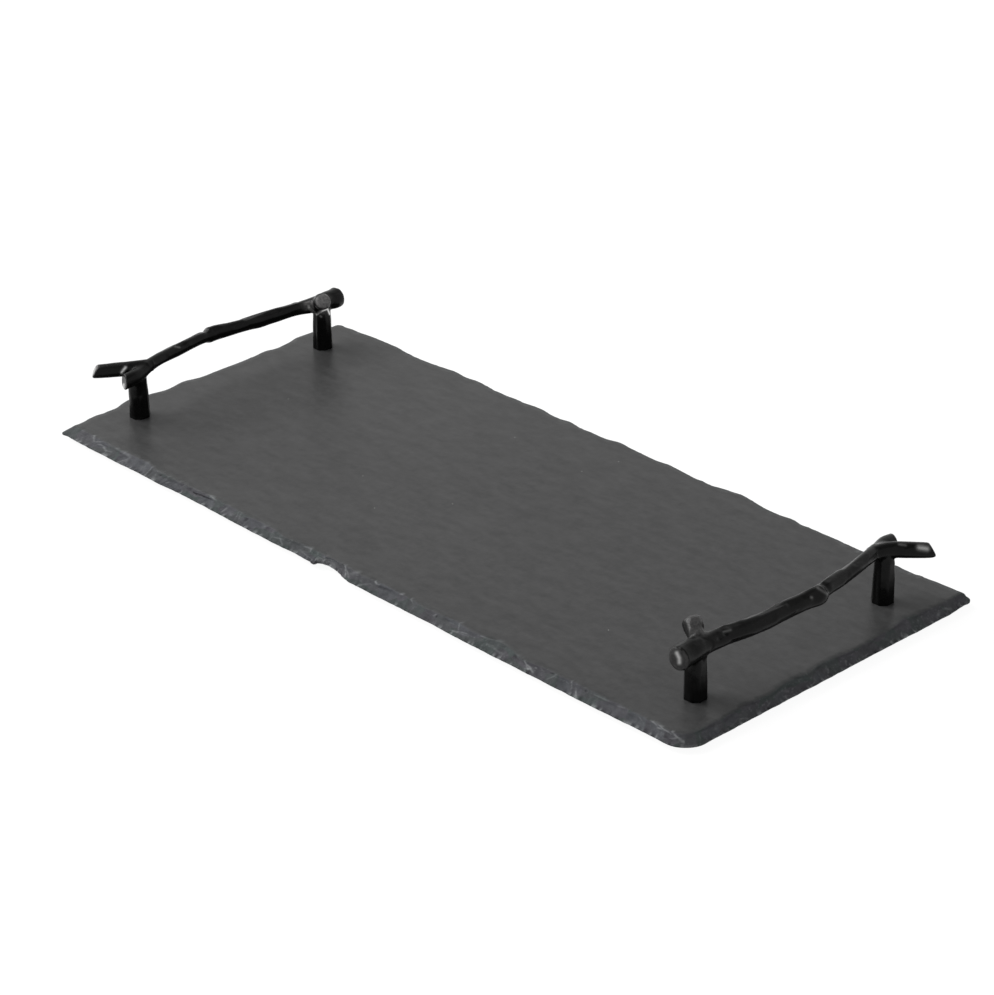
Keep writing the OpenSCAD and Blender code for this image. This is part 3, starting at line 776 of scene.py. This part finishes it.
def relax(points, pairs, amount, rounds):
    """Even smoothing that keeps the volume: each round pulls in and pushes back."""
    for pull in (amount, -PUSH_BACK * amount) * rounds:
        points = points + (mean_around(points, pairs) - points) * pull
    return points


def soften(points, pairs, rounds, where):
    """Plain smoothing in one region, which rounds its form off."""
    rounded = points
    for _ in range(rounds):
        rounded = rounded + (mean_around(rounded, pairs) - rounded) * PULL
    return points + (rounded - points) * where[:, None]


def normals_of(points, quads):
    """The way the surface faces at each point, as unit lengths."""
    a, b, c, d = (points[quads[:, k]] for k in range(4))
    cross = np.cross(c - a, d - b)
    out = np.zeros_like(points)
    for k in range(4):
        for axis in range(3):
            out[:, axis] += np.bincount(quads[:, k], cross[:, axis], len(points))
    return out / np.maximum(np.linalg.norm(out, axis=1), 1e-12)[:, None]


def at(u, v, w):
    """A place on the casting: along the twig from its middle, outward, and up from the slate."""
    return np.array([v, u, w], float)


def unit(way):
    """A way of length 1."""
    return way / np.linalg.norm(way)


def spread(points, centre, radii):
    """1 at the centre, falling off smoothly over the radii."""
    return np.exp(-(((points - centre) / radii) ** 2).sum(1))


def fillet(points, quads, pairs, rounds, where):
    """Fills the creases between the branches, as a casting has them, and leaves the rest."""
    for _ in range(rounds):
        normals = normals_of(points, quads)
        rise = ((mean_around(points, pairs) - points) * normals).sum(1)
        points = points + normals * (np.maximum(rise, 0.0) * PULL * where)[:, None]
    return points


def axis_at(points, u, low):
    """The middle of the twig at a place along it, over a height."""
    near = (np.abs(points[:, 1] - u) < 1.0) & (points[:, 2] > low)
    return np.median(points[near], axis=0)


def whittle(points, u, turn, length, depth):
    """Cuts a long flat on the rail, at an angle round it (0 faces outward, 90 up)."""
    start, end = (axis_at(points, u + side * length * 0.4, RAIL_LOW) for side in (-1, 1))
    middle, way = (start + end) / 2, unit(end - start)
    facing = np.array([math.cos(math.radians(turn)), 0.0, math.sin(math.radians(turn))])
    facing = unit(facing - way * (facing @ way))
    offset = points - middle
    along = offset @ way
    reach = np.linalg.norm(offset - along[:, None] * way, axis=1)
    near = (np.abs(along) < length) & (reach < RAIL_REACH) & (points[:, 2] > RAIL_LOW - 3.0)
    height = offset @ facing
    top = np.percentile(height[near & (np.abs(along) < 1.5)], 98)
    depth = depth * FLAT_DEPTH
    window = 1.0 - smooth((np.abs(along) / (0.5 * length) - 0.7) / 0.5)
    window = window * (1.0 - smooth((reach - RAIL_REACH) / 3.0))
    window = window * smooth((points[:, 2] - RAIL_LOW + 4.0) / 3.0)
    over = np.clip(height - (top - depth), 0.0, 1.4 * depth) * window
    return points - facing * over[:, None]


def flatten(points, centre, facing, radius, depth):
    """Cuts a small flat at a place on the surface."""
    facing = unit(facing)
    offset = points - centre
    height = offset @ facing
    reach = np.linalg.norm(offset - height[:, None] * facing, axis=1)
    near = np.abs(height) < 4.0
    top = np.percentile(height[near & (reach < 0.5 * radius)], 98)
    window = (1.0 - smooth((reach / radius - 0.5) / 0.8)) * near
    return points - facing * (np.maximum(height - top + depth, 0.0) * window)[:, None]


def highlight_stroke(points, normals, ends, width, facing):
    """A painted highlight: 1 along a line between two places, falling off over the width, on the viewer's
    side.
    """
    a, b = (end - facing * (end @ facing) for end in ends)
    flat = points - (points @ facing)[:, None] * facing
    way = b - a
    t = np.clip(((flat - a) @ way) / (way @ way), 0.0, 1.0)
    gap = np.linalg.norm(flat - (a + t[:, None] * way), axis=1)
    level = np.abs((points - (ends[0] + ends[1]) / 2) @ facing) < HIGHLIGHT_DEPTH
    return np.exp(-((gap / width) ** 2)) * smooth(normals @ facing / 0.3) * level


# Flats that the maker's knife left on the rail: place along it, angle round it, length and depth
rail_flats = [
    (-68, 55, 12, 0.2), (-56, 18, 10, 0.5), (-46, 74, 13, 0.42), (-41, -22, 15, 0.55), (-29, 32, 15, 0.5),
    (-21, 92, 16, 0.36), (-14, -18, 14, 0.5), (-7, 62, 11, 0.38), (17, 84, 13, 0.36), (23, 28, 15, 0.45),
    (34, -12, 15, 0.4), (43, 68, 13, 0.36), (52, 16, 11, 0.42), (-58, 152, 10, 0.4), (-41, 142, 17, 0.42),
    (-31, 114, 12, 0.46), (-12, 160, 15, 0.42), (4, 128, 11, 0.36), (20, 150, 15, 0.42),
    (36, 122, 13, 0.36), (50, 162, 11, 0.42),
]
# Dents (less than zero stands out): place, reach in each direction, and depth
dents = [
    ((-50.6, 5.6, 29.4), (1.6, 1.3, 0.9), 0.75), ((-54.6, 5.9, 28.6), (1.7, 1.5, 0.9), 0.65),
    ((-48.6, 4.6, 30.6), (1.4, 1.8, 0.8), -0.4), ((3.4, 10.8, 29.6), (2.6, 4.6, 3), 0.85),
    ((0.4, 10.6, 29.9), (1.1, 1.1, 1.1), -0.75), ((9.2, 9.8, 31), (3, 1.3, 2.4), -0.3),
    ((12.6, 8.6, 31.2), (4, 1.6, 3.4), 0.45), ((-57, -9.4, 36.4), (1.6, 1.2, 1.4), 0.35),
    ((66, 6, 29), (1.3, 2, 2.2), 0.45), ((68.6, -1.2, 26), (1.5, 1.6, 3.2), 0.35),
    ((-55.2, -3.2, 24.6), (1, 1.3, 1.8), 0.55), ((-61, -4.8, 24.4), (1.2, 1.2, 1), 0.45),
    ((-66, -4.6, 21.6), (1, 1, 2), 0.45),
]
# Small flats: a place on each, the way it faces, its radius and its depth
small_flats = [
    (at(-60.6, -6.2, 34.2), at(-0.30, 0.45, 0.84), 5.0, 0.45),
    (at(76.2, 13.9, 28.6), at(-0.5, 0.66, 0.56), 3.4, 0.35),
    (at(70.5, 8.6, 29.6), at(-0.45, 0.50, 0.74), 2.4, 0.15),
]
BRANCH_WAY = at(0.82, 0.57, 0.0)
STEM_WAY = unit(at(11.0, -1.0, -1.4))


def shape_branch_tip(points, pairs):
    """The branch's tip reaches farther out and is rounder."""
    tip = smooth((points @ BRANCH_WAY - 66.0) / 9.0) * smooth((points[:, 0] - 4.0) / 4.0)
    points = points + BRANCH_WAY * (1.7 * tip)[:, None]
    points = flatten(points, at(82.4, 17.4, 21.5), at(0.57, 0.40, -0.72), 4.5, 1.3)
    return soften(points, pairs, 60, spread(points, at(82.4, 17.4, 22.8), (3.6, 3.6, 3.4)))


def shape_trunk_end(points, pairs, joints):
    """The thick end sits lower, farther in and farther along the twig, and its rim is worn round."""
    trunk = smooth((-66.0 - points[:, 1]) / 9.0) * joints
    points = points + at(-0.8, -0.8, -0.8) * trunk[:, None]
    return soften(points, pairs, 50, spread(points, at(-78.5, -4.0, 26.0), (6.0, 4.0, 9.0)))


def shape_stem(points, quads, pairs):
    """The stem runs into its post, and is slimmer toward its sawn end."""
    root = spread(points, at(69.5, -3.0, 17.0), (5.0, 4.5, 5.0))
    points = points + normals_of(points, quads) * (1.2 * root)[:, None]
    root = spread(points, at(68.0, -4.5, 18.0), (6.0, 5.5, 5.0))
    points = soften(points, pairs, 90, smooth(root * 1.6))
    offset = points - at(66.0, -4.0, 25.0)
    along = offset @ STEM_WAY
    off = offset - along[:, None] * STEM_WAY
    end = smooth((along - 2.0) / 8.0) * smooth((9.0 - np.linalg.norm(off, axis=1)) / 2.5)
    return points - (off * 0.07 - at(0.0, -0.1, 0.3)) * end[:, None]


def shape_snag(points, quads, pairs):
    """The snag is rounder and fuller."""
    snag = smooth((-2.0 - points[:, 0]) / 2.5) * smooth((points[:, 2] - 27.0) / 3.0)
    snag *= smooth((-46.0 - points[:, 1]) / 4.0)
    points = soften(points, pairs, 25, snag)
    return points + normals_of(points, quads) * (0.9 * snag)[:, None]


def unevenness(points):
    """Knife marks down the posts, and a light unevenness all over, in millimetres."""
    x, y, z = points.T
    posts = 1.0 - smooth((z - 20.0) / 4.0)
    uneven = 0.16 * posts * noise(np.arctan2(x, np.abs(y) - 64.0) * 2.2, z / 11.0, np.sign(y) * 3.0, 91)
    uneven += 0.07 * fractal(x / 3.2, y / 4.4, z / 3.2, 92, 2)
    return uneven * smooth(z / 1.5)


def build_casting():
    """The casting in its own frame, in millimetres: X outward, Y along the twig from its thick end."""
    centre = casting_centre("right")
    points, quads = remeshed("handle_right")
    points = points - centre
    pairs = neighbours(quads, len(points))
    points = relax(points, pairs, 0.6, 8)
    joints = smooth((points[:, 2] - 12.0) / 5.0)
    points = fillet(points, quads, pairs, 45, joints)
    by_stem = spread(points, at(65.5, -2.5, 19.5), (7.0, 8.0, 8.0))
    points = fillet(points, quads, pairs, 160, joints * by_stem)
    points = shape_branch_tip(points, pairs)
    points = shape_trunk_end(points, pairs, joints)
    points = shape_stem(points, quads, pairs)
    points = shape_snag(points, quads, pairs)
    for flat in rail_flats:
        points = whittle(points, *flat)
    for flat in small_flats:
        points = flatten(points, *flat)
    normals = normals_of(points, quads)
    for place, radii, depth in dents:
        points = points - normals * (depth * spread(points, at(*place), radii))[:, None]
    # the groove behind the thick end's rim
    thick = np.hypot(points[:, 0] - 1.2, points[:, 2] - 26.0)
    groove = np.exp(-(((points[:, 1] + 77.2) / 0.55) ** 2)) * smooth((thick - 3.0) / 1.5)
    groove *= smooth(points[:, 0] / 3.0 + 0.3)
    points = points - normals * (0.38 * groove)[:, None]
    points = points + normals_of(points, quads) * unevenness(points)[:, None]
    points = relax(points, pairs, 0.35, 2)
    points[:, 2] = np.clip(points[:, 2], 0.0, CASTING_TOP)
    return points, quads, pairs, centre


def casting_marks(points, quads, pairs, highlights, pale_and_lit, facing):
    """Where the coating is rubbed bright on sharp edges, where highlights are painted as bare metal along
    the lines listed, and where it is pale: the sawn ends' own paler cut, and painted light on lit facets.
    """
    normals = normals_of(points, quads)
    curve = -((mean_around(points, pairs) - points) * normals).sum(1) / (VOXEL / MM)
    wear_and_highlight = 0.02 * smooth((curve - 0.10) / 0.16)
    # painted highlights along the listed lines, on the side facing the viewer
    for weight, start, end, width in highlights:
        painted_line = highlight_stroke(points, normals, (at(*start), at(*end)), width, facing)
        wear_and_highlight = np.maximum(wear_and_highlight, weight * painted_line)
    # pale sawn ends, and painted light on facets turned the given way
    sawn = np.zeros(len(points))
    for weight, place, radii, way in pale_and_lit:
        side = smooth((normals @ unit(at(*way)) - 0.55) / 0.25)
        sawn = np.maximum(sawn, weight * side * smooth(spread(points, at(*place), radii) * 4.0))
    return {"wear_and_highlight": wear_and_highlight, "sawn": sawn}


points, quads, pairs, right_centre = build_casting()
left_centre = casting_centre("left")

VIEWER = at(-0.608, 0.654, 0.449)      # from the right handle towards the camera

# Sawn ends: the middle as at() has it, the reach in each direction and the way it faces
TRUNK_END = (-78, 1.2, 26), (6, 3, 6), (-1, 0, 0)
STEM_END = (76.5, -4.9, 23.6), (5, 3, 5), (1, -0.2, -0.3)
BRANCH_END = (80, 14.6, 25.6), (5, 4, 5), (0.8, 0.5, 0.3)
SNAG_END = (-57, -10.6, 33.2), (6, 5, 6), (0.1, -0.8, 0.6)

# Painted highlights, as lines of bright bare metal on the viewer's side: weight, two ends and width
right_painted_highlights = [
    (0.4, (-78.6, 2, 29.2), (-78.6, 3.6, 27.2), 0.8), (0.36, (-78.6, 3.6, 27.2), (-78.6, 3.8, 25), 0.8),
    (0.36, (74, 12.2, 29.2), (76.9, 14.3, 28.3), 1.2), (0.08, (67.4, 5.4, 30.8), (69.4, 7.6, 30.4), 0.6),
    (0.12, (0.3, 10.5, 30.1), (0.7, 10.6, 30), 0.55), (0.1, (6.6, 8.8, 32), (10.4, 11.8, 28.2), 0.6),
    (0.1, (-51.6, 5, 30.4), (-47.4, 5.2, 29.8), 0.5),
]
left_painted_highlights = [
    (0.65, (77, -5.2, 24.2), (77, -5, 21.8), 0.6), (0.55, (70.4, 1.3, 29.8), (71.8, 2.8, 26.8), 0.7),
    (0.45, (79, 16.4, 27.4), (80.2, 16.8, 24.2), 0.6), (0.1, (35.2, 0.2, 30.8), (36, 2.6, 30.6), 0.5),
    (0.6, (-53.6, -2.4, 27), (-56.2, -4.6, 23.6), 0.5),
    (0.6, (-56.2, -4.6, 23.6), (-60, -5.2, 24.6), 0.45),
    (0.6, (-60, -5.2, 24.6), (-64.2, -5, 24.4), 0.45), (0.75, (-64.2, -5, 24.4), (-66, -4.6, 20.6), 0.5),
    (0.3, (-58.4, -5.4, 22.2), (-59, -5.4, 21.6), 0.45), (0.5, (-53.4, -2, 28.6), (-53.6, -2.4, 27), 0.6),
]
# Places painted pale: the sawn ends, partly their own paler cut and partly painted light, and facets of the
# snag painted as lit: weight, middle, reach and the way they face
right_pale_and_lit = [(0.18, *TRUNK_END), (0.35, *STEM_END), (0.3, *BRANCH_END), (0.02, *SNAG_END),
              (0.4, (-59.5, -7, 33), (5.5, 4.6, 5), (-0.35, 0.45, 0.8))]
left_pale_and_lit = [(0.4, *TRUNK_END), (0.22, *STEM_END), (0.45, *BRANCH_END), (1, *SNAG_END),
             (0.95, (-58.4, -7.6, 30.4), (7, 7, 6.2), (0.45, -0.75, 0.45))]


def place_handle(name, node, centre, turn, highlights, pale_and_lit, facing):
    """One handle from the casting: turn is 1 for the right one and -1 for half a turn."""
    world = points @ np.diag([turn, turn, 1.0]) + centre
    marks = casting_marks(points, quads, pairs, highlights, pale_and_lit, facing)
    piece = make_object(name, world * MM, quads.tolist(), marks)
    shade(piece)
    piece.data.materials.append(handle_look)
    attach(piece, "root")
    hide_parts(node)


from_left = VIEWER * (-1, -1, 1)
place_handle("twig_casting_right", "handle_right", right_centre, 1, right_painted_highlights, right_pale_and_lit, VIEWER)
place_handle("twig_casting_left", "handle_left", left_centre, -1, left_painted_highlights, left_pale_and_lit, from_left)


# Screws, washers and foot pads keep their solids and get their finish

for prefix, look, slot in (
    ("screw_", screw_look, "screw"),
    ("washer_", washer_look, "washer"),
    ("foot_", foot_look, "foot"),
):
    for name in sorted(n for n in nodes if n.startswith(prefix)):
        nodes[name].data.materials.clear()
        nodes[name].data.materials.append(look)


# The stage: a pale floor that shows white and keeps a faint shadow

def either(tree, first, second):
    """1 where one of two switches is 1."""
    return fed(tree, "ShaderNodeMath", first, second, operation="MAXIMUM")


def choose(tree, output, seen, plain, shown):
    """Sends the second shader to the output for the rays that count as seen, and else the first."""
    chosen = fed(tree, "ShaderNodeMixShader", seen, plain, shown)
    tree.links.new(chosen, add(tree, output).inputs["Surface"])


def empty_tree(holder):
    """The cleared node tree of a material or a world, and the kinds of ray."""
    holder.use_nodes = True
    holder.node_tree.nodes.clear()
    return holder.node_tree, add(holder.node_tree, "ShaderNodeLightPath").outputs


# What the floor bounces, and what is seen of it: its glow and a grey that takes the shadow
BOUNCE, GLOW, SHADOWED = 0.8, 0.94, 0.10


def floor_material():
    material = bpy.data.materials.new("pale_floor")
    tree, path = empty_tree(material)
    seen = either(tree, path["Is Camera Ray"], path["Is Glossy Ray"])
    seen = either(tree, seen, path["Is Transmission Ray"])
    plain = fed(tree, "ShaderNodeBsdfDiffuse", Color=(BOUNCE, BOUNCE, BOUNCE, 1.0))
    glow = fed(tree, "ShaderNodeEmission", Color=(1.0, 1.0, 1.0, 1.0), Strength=GLOW)
    faint = fed(tree, "ShaderNodeBsdfDiffuse", Color=(SHADOWED, SHADOWED, SHADOWED, 1.0))
    choose(tree, "ShaderNodeOutputMaterial", seen, plain, fed(tree, "ShaderNodeAddShader", glow, faint))
    return material


FLOOR = 6.0     # half the floor's side, in metres
floor = make_object(
    "floor",
    [(-FLOOR, -FLOOR, 0), (FLOOR, -FLOOR, 0), (FLOOR, FLOOR, 0), (-FLOOR, FLOOR, 0)],
    [(0, 1, 2, 3)],
)
floor.data.materials.append(floor_material())


# The world is white where the camera sees it, and a dim grey fill otherwise. A gloss sees a white
# backdrop that ends in the dim ceiling.

FILL = 0.40
# The heights above the horizon where the backdrop starts to fade and where it ends, as sines
BACKDROP_TOP = (math.sin(math.radians(42.0)), math.sin(math.radians(60.0)))


def set_world():
    world = bpy.data.worlds.new("studio")
    bpy.context.scene.world = world
    tree, path = empty_tree(world)
    split = add(tree, "ShaderNodeSeparateXYZ")
    tree.links.new(add(tree, "ShaderNodeTexCoord").outputs["Generated"], split.inputs[0])
    height = add(tree, "ShaderNodeMapRange", interpolation_type="SMOOTHSTEP")
    tree.links.new(split.outputs["Z"], height.inputs["Value"])
    for label, value in zip(("From Min", "From Max", "To Min", "To Max"), (*BACKDROP_TOP, 1.0, 0.0)):
        height.inputs[label].default_value = value
    gloss = either(tree, path["Is Glossy Ray"], path["Is Transmission Ray"])
    lit = fed(tree, "ShaderNodeMath", gloss, height.outputs["Result"], operation="MULTIPLY")
    seen = either(tree, path["Is Camera Ray"], lit)
    dim, white = (
        fed(tree, "ShaderNodeBackground", Color=(1.0, 1.0, 1.0, 1.0), Strength=level) for level in (FILL, 1.0)
    )
    choose(tree, "ShaderNodeOutputWorld", seen, dim, white)


set_world()


def softbox(name, place, size, power):
    """A lamp that faces the middle of the board, with its width and height in metres."""
    data = bpy.data.lights.new(name, "AREA")
    data.shape = "RECTANGLE"
    data.size, data.size_y = size
    data.energy = power
    lamp = bpy.data.objects.new(name, data)
    lamp.location = place
    lamp.rotation_euler = (-Vector(place)).to_track_quat("-Z", "Y").to_euler()
    bpy.context.scene.collection.objects.link(lamp)


softbox("key", (-1.56, -0.78, 1.78), (1.7, 1.7), 68.0)
softbox("small_front", (-0.45, -1.25, 0.95), (0.16, 0.16), 1.6)
softbox("left_strip", (-1.6, 0.1, 0.45), (0.35, 0.8), 3.0)


# The camera, measured from the photograph

FOCAL_PX = 3136.8       # focal length in pixels of the 994 by 995 frame
FRAME_H = 995
SENSOR = 36.0           # millimetres
AZIMUTH, ELEVATION, ROLL = 47.11, 26.71, -0.80      # degrees
LOOK_AT = Vector((-9.90, 13.63, 3.0)) * MM
DISTANCE = 1592.4 * MM


def make_camera():
    az, el, roll = (math.radians(a) for a in (AZIMUTH, ELEVATION, ROLL))
    back = Vector((math.sin(az) * math.cos(el), -math.cos(az) * math.cos(el), math.sin(el)))
    side = Vector((math.cos(az), math.sin(az), 0.0))
    up = back.cross(side)
    right = side * math.cos(roll) + up * math.sin(roll)
    upward = up * math.cos(roll) - side * math.sin(roll)
    data = bpy.data.cameras.new("camera")
    data.sensor_width = SENSOR
    data.lens = SENSOR * FOCAL_PX / FRAME_H
    data.clip_start, data.clip_end = 0.05, 50.0
    camera = bpy.data.objects.new("camera", data)
    turn = Matrix((right, upward, back)).transposed().to_4x4()
    camera.matrix_world = Matrix.Translation(LOOK_AT + back * DISTANCE) @ turn
    bpy.context.scene.collection.objects.link(camera)
    bpy.context.scene.camera = camera


make_camera()
bpy.context.scene.view_settings.view_transform = "Standard"
